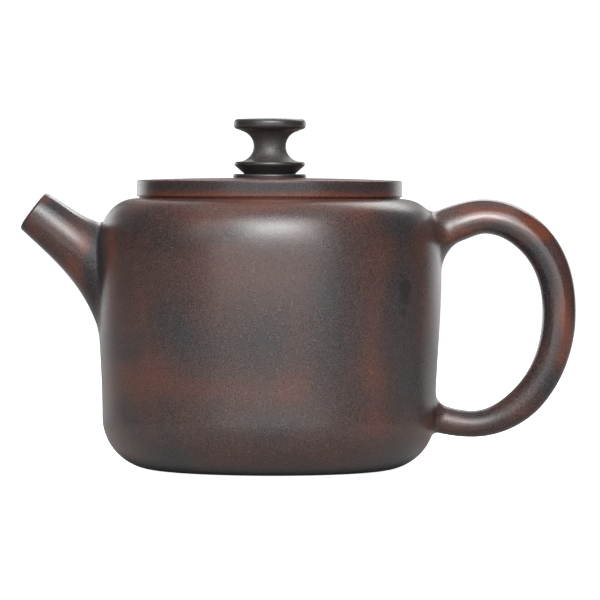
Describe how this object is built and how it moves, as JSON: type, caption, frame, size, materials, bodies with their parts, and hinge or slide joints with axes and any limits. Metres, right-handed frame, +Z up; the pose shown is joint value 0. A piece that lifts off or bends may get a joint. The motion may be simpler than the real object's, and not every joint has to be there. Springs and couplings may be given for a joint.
{
  "type": "clay teapot",
  "caption": "Round straight-sided burnished clay teapot with a short tapered spout, ear handle, flat overlapping lid and a dark spool knob; the lid lifts off and turns.",
  "frame": {"origin": "centre of the flat base, on the surface the pot stands on", "axes": "+Z up along the pot's axis, +X towards the handle, -X towards the spout"},
  "size_m": [0.1311, 0.0812, 0.0826],
  "materials": {
    "brown_clay": "burnished unglazed stoneware, satin, mottled reddish brown and slate grey",
    "dark_clay": "burnished unglazed stoneware, satin, near black"
  },
  "bodies": {
    "pot": {"body_wall": "brown_clay", "base_disc": "brown_clay", "shoulder_disc": "brown_clay", "mouth_ring": "brown_clay", "spout": "brown_clay", "strainer": "brown_clay", "handle": "brown_clay"},
    "collar": {"lid_collar": "brown_clay"},
    "lid": {"lid_disc": "brown_clay", "knob_base": "dark_clay", "knob": "dark_clay"}
  },
  "joints": [
    {"name": "lid_lift", "type": "slide", "parent": "pot", "child": "collar", "axis": [0, 0, 1], "range_m": [0, 0.05]},
    {"name": "lid_turn", "type": "hinge", "parent": "collar", "child": "lid", "pos_m": [0, 0, 0.0641], "axis": [0, 0, 1], "continuous": true}
  ]
}
